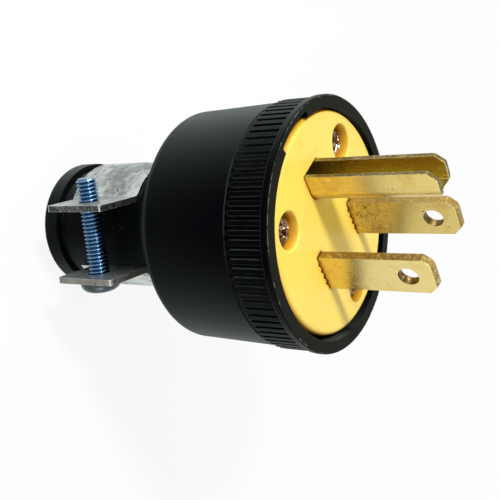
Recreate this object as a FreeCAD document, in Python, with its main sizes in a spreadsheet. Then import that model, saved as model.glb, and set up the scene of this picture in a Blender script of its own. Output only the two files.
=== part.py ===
import FreeCAD, Part
import math
import os
import re
import Sketcher

# Rewirable grounding plug. Everything is drawn about the plug's own axis: x runs out along
# the blades from the front face (x = 0), z points from the axis to the ground pin.
# The clamp pieces are drawn with z along their screws instead.
Vector = FreeCAD.Vector
Rotation = FreeCAD.Rotation
Placement = FreeCAD.Placement

doc = FreeCAD.newDocument("plug")
dims = doc.addObject("Spreadsheet::Sheet", "dims")

values = [
    # turn of the blades and ground pin about the axis, from the clamp screws
    ("pin_roll", 30),
    # housing, outside
    ("lip_front", 0.45),
    ("lip_length", 1.3),
    ("lip_radius", 20.0),
    ("lip_round", 0.3),
    ("rib_below_lip", 0.3),
    ("rib_height", 0.6),
    ("rib_over_body", 0.35),
    ("rib_length", 5.6),
    ("rib_count", 90),
    ("rib_width", 0.78),
    ("band_end_gap", 0.75),
    ("body_length", 23.3),
    ("body_taper", 0.5),
    ("body_rear_round", 1.6),
    ("shoulder_step", 2.25),
    ("shoulder_length", 6.5),
    ("shoulder_round", 1.2),
    ("shoulder_blend", 2.4),
    ("neck_radius", 10.0),
    ("neck_length", 18.6),
    ("bead_height", 1.15),
    ("bead_length", 3.6),
    ("bead_round", 0.7),
    # housing, inside
    ("rim_width", 2.05),
    ("body_wall", 2.25),
    ("rear_wall", 2.5),
    ("cavity_step", 1.6),
    ("cavity_step_length", 0.6),
    ("neck_entry", 1.2),
    ("neck_wall", 2.1),
    ("boss_wall", 1.0),
    ("boss_end_gap", 1.1),
    # front insert
    ("face_gap", 0.5),
    ("face_shift", 0.3),
    ("face_shift_angle", 52),
    ("face_thickness", 5.3),
    ("face_round", 0.8),
    ("key_wall", 1.05),
    ("key_gap", 0.3),
    ("key_angle", -6.5),
    ("key_span", 16),
    ("key_step", 0.9),
    ("key_notch_angle", -1.5),
    ("key_notch_span", 27),
    ("key_thickness", 3.4),
    # face screws and their moulded-in threaded inserts
    ("screw_inset", 4.25),
    ("screw_angle", 52.5),
    ("recess_gap", 0.25),
    ("recess_depth", 2.8),
    ("recess_mouth_round", 0.35),
    ("face_screw_radius", 1.42),
    ("face_screw_gap", 0.15),
    ("face_screw_length", 13.0),
    ("face_screw_head_radius", 2.55),
    ("face_screw_head", 1.9),
    ("insert_wall", 0.88),
    ("insert_length", 6.0),
    ("insert_sink", 0.3),
    ("boss_hole_tail", 2.5),
    # blades
    ("blade_spacing", 12.7),
    ("blade_drop", 3.6),
    ("blade_width", 6.35),
    ("blade_thickness", 1.5),
    ("blade_length", 17.9),
    ("blade_corner", 1.5),
    ("blade_tip_bevel", 0.4),
    ("blade_hole_radius", 1.6),
    ("blade_hole_from_tip", 4.2),
    ("shoulder_spread", 3.25),
    ("shoulder_depth", 1.5),
    ("tab_length", 12.4),
    ("tab_corner", 1.2),
    ("slot_gap", 0.15),
    ("slot_tooth_radius", 0.34),
    ("slot_tooth_pitch", 1.25),
    ("slot_tooth_depth", 1.2),
    ("slot_tooth_count", 4),
    # ground pin
    ("pin_offset", 11.9),
    ("pin_width", 4.65),
    ("pin_sheet", 0.7),
    ("pin_above_centre", 2.85),
    ("pin_length", 19.9),
    ("pin_corner", 1.3),
    ("pin_heel", 1.2),
    ("pin_lug", 1.3),
    ("pin_lug_over_wall", 0.15),
    ("pin_tab_height", 7.4),
    # retainer behind the insert
    ("retainer_gap", 0.7),
    ("retainer_thickness", 4.7),
    ("retainer_edge", 0.5),
    # terminals
    ("terminal_from_tab_end", 5.1),
    ("terminal_radius", 1.75),
    ("terminal_length", 4.2),
    ("terminal_head_radius", 3.4),
    ("terminal_head", 2.1),
    ("washer_border", 0.1),
    ("washer_thickness", 1.0),
    ("washer_gap", 0.2),
    ("washer_corner", 0.8),
    # cord clamp
    ("strap_thickness", 1.0),
    ("strap_bend", 1.3),
    ("strap_inner_bend", 0.4),
    ("ear_gap", 1.4),
    ("ear_length", 7.8),
    ("ear_width", 11.9),
    ("ear_corner", 0.6),
    ("ear_inner_height", 5.55),
    ("saddle_gap", 2.8),
    ("clamp_screw_from_neck", 3.4),
    ("clamp_screw_inset", 6.4),
    ("clamp_screw_radius", 1.75),
    ("clamp_screw_proud", 3.8),
    ("clamp_screw_tip", 0.3),
    ("clamp_hole_gap", 0.15),
    ("clamp_head_radius", 3.43),
    ("clamp_head", 2.3),
    # screw heads
    ("head_dome_round", 0.9),
    ("cross_width", 0.95),
    ("cross_span", 3.0),
    ("cross_depth", 1.1),
    ("slot_width", 1.1),
    ("slot_depth", 1.0),
]
for row, (alias, value) in enumerate(values, start=1):
    dims.set("A%d" % row, alias.replace("_", " "))
    dims.set("B%d" % row, str(value))
    dims.setAlias("B%d" % row, alias)
doc.recompute()

# sizes that follow from others: the one each starts at, then the steps that lead to it
follows = {
    "rib_crest_radius": ("lip_radius", "- rib_below_lip"),
    "rib_root_radius": ("rib_crest_radius", "- rib_height"),
    "body_front_radius": ("rib_crest_radius", "- rib_over_body"),
    "body_rear_radius": ("body_front_radius", "- body_taper"),
    "shoulder_radius": ("body_rear_radius", "- shoulder_step"),
    "shoulder_rear": ("body_length", "+ shoulder_length"),
    "bead_radius": ("neck_radius", "+ bead_height"),
    "bead_front": ("shoulder_rear", "+ neck_length"),
    "housing_rear": ("bead_front", "+ bead_length"),
    "mouth_radius": ("lip_radius", "- rim_width"),
    "cavity_radius": ("body_rear_radius", "- body_wall"),
    "cavity_floor": ("body_length", "- rear_wall"),
    "funnel_front_radius": ("cavity_radius", "- cavity_step"),
    "funnel_front": ("cavity_floor", "+ cavity_step_length"),
    "funnel_rear": ("shoulder_rear", "- neck_entry"),
    "neck_bore_radius": ("neck_radius", "- neck_wall"),
    "insert_radius": ("face_screw_radius", "+ insert_wall"),
    "boss_radius": ("insert_radius", "+ boss_wall"),
    "boss_foot": ("funnel_rear", "- boss_end_gap"),
    "face_radius": ("mouth_radius", "- face_gap"),
    "key_notch_radius": ("lip_radius", "- key_wall"),
    "key_radius": ("key_notch_radius", "- key_gap"),
    "screw_circle": ("face_radius", "- screw_inset"),
    "recess_radius": ("face_screw_head_radius", "+ recess_gap"),
    "shoulder_width": ("blade_width", "+ shoulder_spread"),
    "blade_hole_from_face": ("blade_length", "- blade_hole_from_tip"),
    "terminal_from_shoulder": ("tab_length", "- terminal_from_tab_end"),
    "pin_lug_height": ("pin_above_centre", "+ pin_lug_over_wall"),
    "retainer_radius": ("cavity_radius", "- retainer_gap"),
    "washer_half": ("terminal_head_radius", "+ washer_border"),
    "ear_front": ("shoulder_rear", "+ ear_gap"),
    "ear_reach": ("neck_radius", "+ ear_length"),
    "saddle_rear": ("bead_front", "- saddle_gap"),
    "clamp_screw_side": ("neck_radius", "+ clamp_screw_from_neck"),
    "clamp_screw_from_face": ("ear_front", "+ clamp_screw_inset"),
    "clamp_screw_length": ("ear_inner_height", "+ ear_inner_height", "+ strap_thickness",
                           "+ strap_thickness", "+ clamp_screw_proud"),
}

# turns that lay a shape drawn up Z along X or along Y
alongX = Rotation(Vector(0, 1, 0), 90)
alongY = Rotation(Vector(1, 0, 0), -90)
upright = Rotation()


def size(alias):
    if alias not in follows:
        return float(dims.get(alias))
    first, *steps = follows[alias]
    return size(first) + sum(size(step[2:]) * (1 if step[0] == "+" else -1) for step in steps)


# a size written out in the sheet's own cells
def cells(alias):
    if alias not in follows:
        return "dims." + alias
    first, *steps = follows[alias]
    return "(" + cells(first) + "".join(" " + step[:2] + cells(step[2:]) for step in steps) + ")"


def spelled(formula):
    return re.sub(r"dims\.(\w+)", lambda found: cells(found.group(1)), formula)


def bind(item, settings):
    for name, formula in settings.items():
        item.setExpression(name, spelled(formula))
    return item


def put(item, turn, x="0", y="0", z="0"):
    item.Placement = Placement(Vector(0, 0, 0), turn)
    return bind(item, {
        "Placement.Base.x": x,
        "Placement.Base.y": y,
        "Placement.Base.z": z,
    })


def rod(name, radius, length, x="0", y="0", z="0", turn=alongX):
    item = doc.addObject("Part::Cylinder", name)
    bind(item, {"Radius": radius, "Height": length})
    return put(item, turn, x, y, z)


def block(name, length, width, height, x, y, z):
    item = doc.addObject("Part::Box", name)
    bind(item, {"Length": length, "Width": width, "Height": height})
    return put(item, upright, x, y, z)


def joined(name, items):
    item = doc.addObject("Part::MultiFuse", name)
    item.Shapes = items
    item.Refine = True
    return item


def cut(name, base, tools):
    item = doc.addObject("Part::Cut", name)
    item.Base = base
    item.Tool = tools[0] if len(tools) == 1 else joined(name + "_tools", tools)
    item.Refine = True
    return item


# closed outline whose corners are each held by two bound distances from the origin
def outline(sketch, corners):
    count = len(corners)
    turn = 2 * math.pi / count
    reach = size("lip_radius")
    ring = [Vector(reach * math.cos(turn * i), reach * math.sin(turn * i), 0) for i in range(count)]
    for i in range(count):
        sketch.addGeometry(Part.LineSegment(ring[i], ring[(i + 1) % count]), False)
    for i in range(count):
        sketch.addConstraint(Sketcher.Constraint("Coincident", i, 2, (i + 1) % count, 1))
    for i, (across, up) in enumerate(corners):
        for kind, formula, start, axis in (
            ("DistanceX", across, ring[i].x, -2),
            ("DistanceY", up, ring[i].y, -1),
        ):
            if formula == "0":
                sketch.addConstraint(Sketcher.Constraint("PointOnObject", i, 1, axis))
                continue
            spot = sketch.addConstraint(Sketcher.Constraint(kind, -1, 1, i, 1, start))
            sketch.renameConstraint(spot, "%s%d" % (kind[-1], i))
            sketch.setExpression("Constraints.%s%d" % (kind[-1], i), spelled(formula))
    return sketch


# profile of (distance along the axis, radius) turned about the plug's axis
def turned(name, corners):
    sketch = outline(doc.addObject("Sketcher::SketchObject", name + "_profile"), corners)
    item = doc.addObject("Part::Revolution", name)
    item.Source = sketch
    item.Axis = Vector(1, 0, 0)
    item.Solid = True
    sketch.Visibility = False
    return item


# flat shape in the x-z plane, thickened evenly to both sides of it
def plate(name, corners, thickness, y, z):
    sketch = doc.addObject("Sketcher::SketchObject", name + "_shape")
    sketch.Placement = Placement(Vector(0, 0, 0), Rotation(Vector(1, 0, 0), 90))
    outline(sketch, corners)
    item = doc.addObject("Part::Extrusion", name)
    item.Base = sketch
    item.DirMode = "Custom"
    item.Dir = Vector(0, 1, 0)
    item.Symmetric = True
    item.Solid = True
    bind(item, {"LengthFwd": thickness, "Placement.Base.y": y, "Placement.Base.z": z})
    return item


# body that takes an earlier solid as its base and is finished with rounds and bevels
def finished(name, base):
    body = doc.addObject("PartDesign::Body", name)
    body.BaseFeature = base
    doc.recompute()
    return body


def edgesWhere(shape, test):
    return ["Edge%d" % (i + 1) for i, edge in enumerate(shape.Edges) if test(edge)]


def dressed(body, kind, name, test, amount):
    before = body.Tip
    item = body.newObject("PartDesign::" + kind, name)
    item.Base = (before, edgesWhere(before.Shape, test))
    item.setExpression("Radius" if kind == "Fillet" else "Size", spelled(amount))
    body.Tip = item
    doc.recompute()
    return item


def isCircle(edge, radius, x=None, tolerance=0.02):
    curve = edge.Curve
    if not isinstance(curve, Part.Circle) or abs(curve.Radius - radius) > tolerance:
        return False
    return x is None or abs(curve.Center.x - x) < tolerance


def near(value, goal):
    return abs(value - goal) < 1e-3


def isLine(edge, direction):
    curve = edge.Curve
    return isinstance(curve, Part.Line) and near(abs(curve.Direction.dot(direction)), 1)


screw_spots = {
    "near": ("-dims.screw_circle * sin(dims.screw_angle)", "dims.screw_circle * cos(dims.screw_angle)"),
    "far": ("dims.screw_circle * sin(dims.screw_angle)", "dims.screw_circle * cos(dims.screw_angle)"),
    "low": ("0", "-dims.screw_circle"),
}
blade_sides = {"line": "1", "neutral": "-1"}
blade_z = "-dims.blade_drop"
pin_z = "(dims.pin_offset - dims.blade_drop)"
shoulder_x = "(-dims.face_thickness - dims.shoulder_depth)"
retainer_rear = "(-dims.face_thickness - dims.retainer_thickness)"
terminal_x = "(-dims.face_thickness - dims.shoulder_depth - dims.terminal_from_shoulder)"
nodes = {}

# housing: one moulding with the neck, the shoulder, the ribbed grip band and the lip
band_rear = "dims.lip_front - dims.lip_length - dims.rib_length - dims.band_end_gap"
outer = turned("housing_outer", [
    ("dims.lip_front", "0"),
    ("dims.lip_front", "dims.lip_radius"),
    ("dims.lip_front - dims.lip_length", "dims.lip_radius"),
    ("dims.lip_front - dims.lip_length", "dims.rib_root_radius"),
    (band_rear, "dims.rib_root_radius"),
    (band_rear, "dims.body_front_radius"),
    ("-dims.body_length", "dims.body_rear_radius"),
    ("-dims.body_length", "dims.shoulder_radius"),
    ("-dims.shoulder_rear", "dims.neck_radius"),
    ("-dims.bead_front", "dims.neck_radius"),
    ("-dims.bead_front", "dims.bead_radius"),
    ("-dims.housing_rear", "dims.bead_radius"),
    ("-dims.housing_rear", "0"),
])
cavity = turned("housing_cavity", [
    ("dims.lip_front + 1", "0"),
    ("dims.lip_front + 1", "dims.mouth_radius"),
    ("-dims.face_thickness", "dims.mouth_radius"),
    ("-dims.face_thickness", "dims.cavity_radius"),
    ("-dims.cavity_floor", "dims.cavity_radius"),
    ("-dims.funnel_front", "dims.funnel_front_radius"),
    ("-dims.funnel_rear", "dims.neck_bore_radius"),
    ("-dims.housing_rear - 1", "dims.neck_bore_radius"),
    ("-dims.housing_rear - 1", "0"),
])
bosses = []
sockets = []
for place, (y, z) in screw_spots.items():
    bosses.append(rod("boss_" + place, "dims.boss_radius", "dims.boss_foot + " + retainer_rear,
                      "-dims.boss_foot", y, z))
    insert_depth = "dims.insert_length + dims.insert_sink"
    insert_foot = retainer_rear + " - dims.insert_length - dims.insert_sink"
    sockets.append(rod("boss_socket_" + place, "dims.insert_radius", insert_depth,
                       insert_foot, y, z))
    sockets.append(rod("boss_hole_" + place, "dims.face_screw_radius + dims.face_screw_gap",
                       insert_depth + " + dims.boss_hole_tail",
                       insert_foot + " - dims.boss_hole_tail", y, z))
chamber = cut("housing_chamber", cavity, [joined("housing_bosses", bosses)])


# wedge of the given span, its middle at the given angle round from the ground pin
def wedge(name, middle, span, front, depth):
    sketch = doc.addObject("Sketcher::SketchObject", name + "_shape")
    sketch.Placement = Placement(Vector(0, 0, 0), Rotation(Vector(1, 1, 1), 120))
    corners = [("0", "0")]
    for sign in (" - ", " + "):
        angle = "(" + middle + sign + span + " / 2)"
        corners.append(("2 * dims.lip_radius * sin" + angle, "2 * dims.lip_radius * cos" + angle))
    outline(sketch, corners)
    item = doc.addObject("Part::Extrusion", name)
    item.Base = sketch
    item.DirMode = "Custom"
    item.Dir = Vector(1, 0, 0)
    item.Solid = True
    bind(item, {"LengthFwd": depth, "Placement.Base.x": front + " - " + depth})
    return item


def sector(name, radius, middle, span, front, depth):
    item = doc.addObject("Part::Common", name)
    item.Base = rod(name + "_disc", radius, depth, front + " - " + depth)
    item.Tool = wedge(name + "_wedge", middle, span, front, depth)
    return item


key_notch = sector("key_notch", "dims.key_notch_radius", "dims.key_notch_angle",
                   "dims.key_notch_span", "(dims.lip_front + 1)",
                   "(dims.lip_front + 1 + dims.key_thickness + dims.key_gap)")
housing_base = cut("housing_base", outer, [chamber, key_notch] + sockets)
housing = finished("housing", housing_base)
dressed(housing, "Fillet", "rear_round",
        lambda edge: isCircle(edge, size("body_rear_radius"), -size("body_length")), "dims.body_rear_round")
dressed(housing, "Fillet", "shoulder_edge",
        lambda edge: isCircle(edge, size("shoulder_radius"), -size("body_length")), "dims.shoulder_round")
dressed(housing, "Fillet", "neck_blend",
        lambda edge: isCircle(edge, size("neck_radius"), -size("shoulder_rear")), "dims.shoulder_blend")
dressed(housing, "Fillet", "bead_rear_round",
        lambda edge: isCircle(edge, size("bead_radius"), -size("housing_rear")), "dims.bead_round")
dressed(housing, "Fillet", "bead_front_round",
        lambda edge: isCircle(edge, size("bead_radius"), -size("bead_front")), "dims.bead_round / 2")
dressed(housing, "Fillet", "lip_edge",
        lambda edge: isCircle(edge, size("lip_radius")), "dims.lip_round")

# one grip rib, flat on top with a rounded rear end, repeated round the band
rib_shape = housing.newObject("Sketcher::SketchObject", "rib_shape")
rib_shape.AttachmentSupport = [([o for o in housing.Origin.OriginFeatures if o.Role == "XY_Plane"][0], "")]
rib_shape.MapMode = "FlatFace"
rib_shape.setExpression("AttachmentOffset.Base.z", spelled("dims.rib_root_radius - dims.rib_width / 2"))
rib_side = size("rib_width") / 2
rib_front = size("lip_front") - size("lip_length") / 2
rib_rear = size("lip_front") - size("lip_length") - size("rib_length") + rib_side
rib_corners = [Vector(x, y, 0) for x, y in (
    (rib_rear, -rib_side), (rib_front, -rib_side), (rib_front, rib_side), (rib_rear, rib_side))]
for start, end in zip(rib_corners, rib_corners[1:]):
    rib_shape.addGeometry(Part.LineSegment(start, end), False)
rib_end = Part.Circle(Vector(rib_rear, 0, 0), Vector(0, 0, 1), rib_side)
rib_shape.addGeometry(Part.ArcOfCircle(rib_end, math.pi / 2, 3 * math.pi / 2), False)
rib_shape.addConstraint(Sketcher.Constraint("Coincident", 0, 2, 1, 1))
rib_shape.addConstraint(Sketcher.Constraint("Coincident", 1, 2, 2, 1))
rib_shape.addConstraint(Sketcher.Constraint("Tangent", 2, 2, 3, 1))
rib_shape.addConstraint(Sketcher.Constraint("Tangent", 3, 2, 0, 1))
rib_shape.addConstraint(Sketcher.Constraint("Horizontal", 0))
rib_shape.addConstraint(Sketcher.Constraint("Vertical", 1))
rib_shape.addConstraint(Sketcher.Constraint("PointOnObject", 3, 3, -1))
for kind, place, start, name, formula in (
    ("Radius", (3,), rib_side, "rib_end", "dims.rib_width / 2"),
    ("DistanceX", (-1, 1, 3, 3), rib_rear, "rib_rear",
     "dims.lip_front - dims.lip_length - dims.rib_length + dims.rib_width / 2"),
    ("DistanceX", (-1, 1, 1, 1), rib_front, "rib_front", "dims.lip_front - dims.lip_length / 2"),
):
    spot = rib_shape.addConstraint(Sketcher.Constraint(kind, *place, start))
    rib_shape.renameConstraint(spot, name)
    rib_shape.setExpression("Constraints." + name, spelled(formula))
doc.recompute()
rib = housing.newObject("PartDesign::Pad", "rib")
rib.Profile = rib_shape
rib.setExpression("Length", "dims.rib_height + dims.rib_width / 2")
housing.Tip = rib
doc.recompute()
ribs = housing.newObject("PartDesign::PolarPattern", "ribs")
ribs.Originals = [rib]
ribs.Axis = ([o for o in housing.Origin.OriginFeatures if o.Role == "X_Axis"][0], [""])
ribs.Angle = 360
ribs.setExpression("Occurrences", "dims.rib_count")
housing.Tip = ribs
nodes["housing"] = housing

# front insert: disc with the key lobe, screw recesses and the slots of the blades and pin
disc = rod("face_disc", "dims.face_radius", "dims.face_thickness", "-dims.face_thickness",
           "dims.face_shift * sin(dims.face_shift_angle)", "dims.face_shift * cos(dims.face_shift_angle)")
lobe = sector("key_lobe", "dims.key_radius", "dims.key_angle", "dims.key_span", "-dims.key_step",
              "(dims.key_thickness - dims.key_step)")
openings = []
for place, (y, z) in screw_spots.items():
    openings.append(rod("recess_" + place, "dims.recess_radius", "dims.recess_depth + 1",
                        "-dims.recess_depth", y, z))
    openings.append(rod("face_hole_" + place, "dims.face_screw_radius + dims.face_screw_gap",
                        "dims.face_thickness + 1", "-dims.face_thickness - 1", y, z))
for side, sign in blade_sides.items():
    slot_edge = sign + " * dims.blade_spacing / 2 - dims.blade_thickness / 2 - dims.slot_gap"
    openings.append(block("slot_" + side, "dims.face_thickness + 2",
                          "dims.blade_thickness + 2 * dims.slot_gap", "dims.blade_width + 2 * dims.slot_gap",
                          "-dims.face_thickness - 1", slot_edge,
                          blade_z + " - dims.blade_width / 2 - dims.slot_gap"))
    for tooth in range(int(size("slot_tooth_count"))):
        tooth_z = "dims.slot_tooth_pitch * (%d - (dims.slot_tooth_count - 1) / 2)" % tooth
        openings.append(rod("tooth_%s_%d" % (side, tooth + 1), "dims.slot_tooth_radius",
                            "dims.slot_tooth_depth + 1", "-dims.slot_tooth_depth", slot_edge,
                            blade_z + " + " + tooth_z))


# U section of the ground pin at the given outer radius, from rear to front
def channel(name, radius, height, rear, front):
    length = front + " - " + rear
    return [
        rod(name + "_round", radius, length, rear, "0", pin_z),
        block(name + "_walls", length, "2 * " + radius, height, rear, "-" + radius, pin_z),
    ]


pin_radius = "(dims.pin_width / 2)"
loose_radius = "(dims.pin_width / 2 + dims.slot_gap)"
loose_height = "dims.pin_above_centre + dims.slot_gap"
openings += channel("pin_slot", loose_radius, loose_height, "(-dims.face_thickness - 1)", "1")
face_base = cut("face_base", joined("face_blank", [disc, lobe]), openings)
front_face = finished("front_face", face_base)


def isFrontEdge(edge):
    box = edge.BoundBox
    if box.XLength > 1e-6 or abs(box.XMin) > 1e-6:
        return False
    middle = edge.valueAt((edge.FirstParameter + edge.LastParameter) / 2)
    return math.hypot(middle.y, middle.z) > size("face_radius") - 1


dressed(front_face, "Fillet", "face_edge", isFrontEdge, "dims.face_round")
dressed(front_face, "Fillet", "recess_mouths",
        lambda edge: isCircle(edge, size("recess_radius"), 0), "dims.recess_mouth_round")
nodes["front_face"] = front_face

# retainer: plate behind the insert that traps the shoulders of the blades and the pin
pockets = []
for place, (y, z) in screw_spots.items():
    pockets.append(rod("retainer_hole_" + place, "dims.face_screw_radius + dims.face_screw_gap",
                       "dims.retainer_thickness + 2", retainer_rear + " - 1", y, z))
for side, sign in blade_sides.items():
    edge_y = sign + " * dims.blade_spacing / 2 - dims.blade_thickness / 2 - dims.slot_gap"
    wide = "dims.blade_thickness + 2 * dims.slot_gap"
    pockets.append(block("tab_slot_" + side, "dims.retainer_thickness + 2", wide,
                         "dims.blade_width + 2 * dims.slot_gap", retainer_rear + " - 1", edge_y,
                         blade_z + " - dims.blade_width / 2 - dims.slot_gap"))
    pockets.append(block("shoulder_pocket_" + side, "dims.shoulder_depth + 1", wide,
                         "dims.shoulder_width + 2 * dims.slot_gap", shoulder_x, edge_y,
                         blade_z + " - dims.shoulder_width / 2 - dims.slot_gap"))
pockets += channel("pin_pocket", loose_radius, loose_height, shoulder_x, "(-dims.face_thickness + 1)")
lug_size = ["dims.shoulder_depth", "dims.pin_width + 2 * dims.pin_lug", "dims.pin_lug_height"]
pockets.append(block("lug_pocket", "dims.shoulder_depth + 1", lug_size[1] + " + 2 * dims.slot_gap",
                     lug_size[2] + " + 2 * dims.slot_gap", shoulder_x,
                     "-dims.pin_width / 2 - dims.pin_lug - dims.slot_gap",
                     pin_z + " - dims.slot_gap"))
tab_z = pin_z + " + (dims.pin_above_centre - dims.pin_width / 2) / 2"
pockets.append(block("pin_tab_slot", "dims.retainer_thickness + 2",
                     "dims.pin_sheet + 2 * dims.slot_gap", "dims.pin_tab_height + 2 * dims.slot_gap",
                     retainer_rear + " - 1", "-dims.pin_width / 2 - dims.slot_gap",
                     tab_z + " - dims.pin_tab_height / 2 - dims.slot_gap"))
retainer_blank = rod("retainer_blank", "dims.retainer_radius", "dims.retainer_thickness",
                     retainer_rear)
retainer = finished("blade_retainer", cut("retainer_base", retainer_blank, pockets))
retainer_back = -size("face_thickness") - size("retainer_thickness")
dressed(retainer, "Chamfer", "retainer_rear_edge",
        lambda edge: isCircle(edge, size("retainer_radius"), retainer_back), "dims.retainer_edge")
nodes["blade_retainer"] = retainer

# blades: one stamping each, with a shoulder behind the insert and a tapped terminal tab
half = "dims.blade_width / 2"
tab_end = "(" + shoulder_x + " - dims.tab_length)"
upper = [
    ("dims.blade_length", half + " - dims.blade_corner"),
    ("dims.blade_length - dims.blade_corner", half),
    ("-dims.face_thickness", half),
    ("-dims.face_thickness", "dims.shoulder_width / 2"),
    (shoulder_x, "dims.shoulder_width / 2"),
    (shoulder_x, half),
    (tab_end + " + dims.tab_corner", half),
    (tab_end, half + " - dims.tab_corner"),
]
lower = [(across, "-(" + up + ")") for across, up in reversed(upper)]
for side, sign in blade_sides.items():
    middle = sign + " * dims.blade_spacing / 2"
    sheet = plate(side + "_sheet", upper + lower, "dims.blade_thickness", middle, blade_z)
    across = middle + " - dims.blade_thickness"
    holes = [
        rod(side + "_blade_hole", "dims.blade_hole_radius", "2 * dims.blade_thickness",
            "dims.blade_hole_from_face", across, blade_z, alongY),
        rod(side + "_tapped_hole", "dims.terminal_radius", "2 * dims.blade_thickness",
            terminal_x, across, blade_z, alongY),
    ]
    blade = finished(side + "_blade", cut(side + "_blank", sheet, holes))
    dressed(blade, "Chamfer", side + "_coined_tip",
            lambda edge: isLine(edge, Vector(0, 0, 1)) and near(edge.CenterOfMass.x, size("blade_length")),
            "dims.blade_tip_bevel")
    nodes[side + "_blade"] = blade

# ground pin: folded sheet channel, open away from the blades, with a terminal tab off one wall
lugs = block("pin_lugs", lug_size[0], lug_size[1], lug_size[2], shoulder_x,
             "-dims.pin_width / 2 - dims.pin_lug", pin_z)
pin_outside = channel("pin_outer", pin_radius, "dims.pin_above_centre", shoulder_x, "dims.pin_length")
pin_solid = joined("pin_solid", pin_outside + [lugs])
hollow = channel("pin_inner", "(dims.pin_width / 2 - dims.pin_sheet)", "dims.pin_lug_height + 1",
                 "(" + shoulder_x + " - 1)", "(dims.pin_length + 1)")
pin_tab = block("pin_tab", "dims.tab_length + dims.shoulder_depth", "dims.pin_sheet", "dims.pin_tab_height",
                tab_end, "-dims.pin_width / 2", tab_z + " - dims.pin_tab_height / 2")
pin_sheet = joined("pin_sheet_metal", [cut("pin_channel", pin_solid, hollow), pin_tab])
pin_hole = rod("pin_tapped_hole", "dims.terminal_radius", "3 * dims.pin_sheet", terminal_x,
               "-dims.pin_width / 2 - dims.pin_sheet", tab_z, alongY)
heel = plate("pin_heel_wedge", [
    ("dims.pin_length - dims.pin_heel - 1", "-dims.pin_width / 2 - 1"),
    ("dims.pin_length + 1", "-dims.pin_width / 2 - 1"),
    ("dims.pin_length + 1", "dims.pin_heel + 1 - dims.pin_width / 2"),
], "dims.pin_width + 2", "0", pin_z)
ground_pin = finished("ground_pin", cut("pin_blank", pin_sheet, [pin_hole, heel]))
pin_top = size("pin_offset") - size("blade_drop") + size("pin_above_centre")
pin_back = -size("face_thickness") - size("shoulder_depth") - size("tab_length")
dressed(ground_pin, "Chamfer", "pin_tip_corners",
        lambda edge: isLine(edge, Vector(0, 1, 0)) and near(edge.CenterOfMass.x, size("pin_length"))
        and near(edge.CenterOfMass.z, pin_top), "dims.pin_corner")
dressed(ground_pin, "Chamfer", "pin_tab_corners",
        lambda edge: isLine(edge, Vector(0, 1, 0)) and near(edge.CenterOfMass.x, pin_back),
        "dims.tab_corner")
nodes["ground_pin"] = ground_pin


# binding screw and square pressure plate on a tab's outer face, leaving to the given side
def terminal(name, side, face_y, z):
    outward = side > 0
    plate_y = face_y if outward else face_y + " - dims.washer_thickness"
    under_head = face_y + (" + " if outward else " - ") + "dims.washer_thickness"
    head_y = under_head if outward else under_head + " - dims.terminal_head"
    shank_y = under_head + " - dims.terminal_length" if outward else under_head
    slot_floor = " + dims.terminal_head - dims.slot_depth" if outward else " - dims.terminal_head - 1"
    head = rod(name + "_head", "dims.terminal_head_radius", "dims.terminal_head",
               terminal_x, head_y, z, alongY)
    shank = rod(name + "_shank", "dims.terminal_radius", "dims.terminal_length",
                terminal_x, shank_y, z, alongY)
    groove = block(name + "_slot", "2 * dims.terminal_head_radius + 2", "dims.slot_depth + 1",
                   "dims.slot_width", terminal_x + " - dims.terminal_head_radius - 1",
                   under_head + slot_floor, z + " - dims.slot_width / 2")
    screw = finished(name + "_terminal_screw", joined(name + "_screw_blank", [head, shank]))
    top = screw.Shape.BoundBox.YMax if outward else screw.Shape.BoundBox.YMin
    dressed(screw, "Fillet", name + "_head_rim",
            lambda edge: isCircle(edge, size("terminal_head_radius")) and near(edge.Curve.Center.y, top),
            "dims.head_dome_round")
    slotted = cut(name + "_slotted", screw, [groove])
    clamp_blank = block(name + "_clamp_blank", "2 * dims.washer_half", "dims.washer_thickness",
                        "2 * dims.washer_half", terminal_x + " - dims.washer_half", plate_y,
                        z + " - dims.washer_half")
    clamp_hole = rod(name + "_clamp_hole", "dims.terminal_radius + dims.washer_gap",
                     "3 * dims.washer_thickness", terminal_x, plate_y + " - dims.washer_thickness",
                     z, alongY)
    washer = finished(name + "_wire_clamp", cut(name + "_clamp_drilled", clamp_blank, [clamp_hole]))
    dressed(washer, "Fillet", name + "_clamp_corners",
            lambda edge: isLine(edge, Vector(0, 1, 0)), "dims.washer_corner")
    nodes[name + "_terminal_screw"] = slotted
    nodes[name + "_wire_clamp"] = washer


terminal("line", 1, "dims.blade_spacing / 2 + dims.blade_thickness / 2", blade_z)
terminal("neutral", -1, "-dims.blade_spacing / 2 - dims.blade_thickness / 2", blade_z)
terminal("ground", -1, "-dims.pin_width / 2", tab_z)

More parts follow.
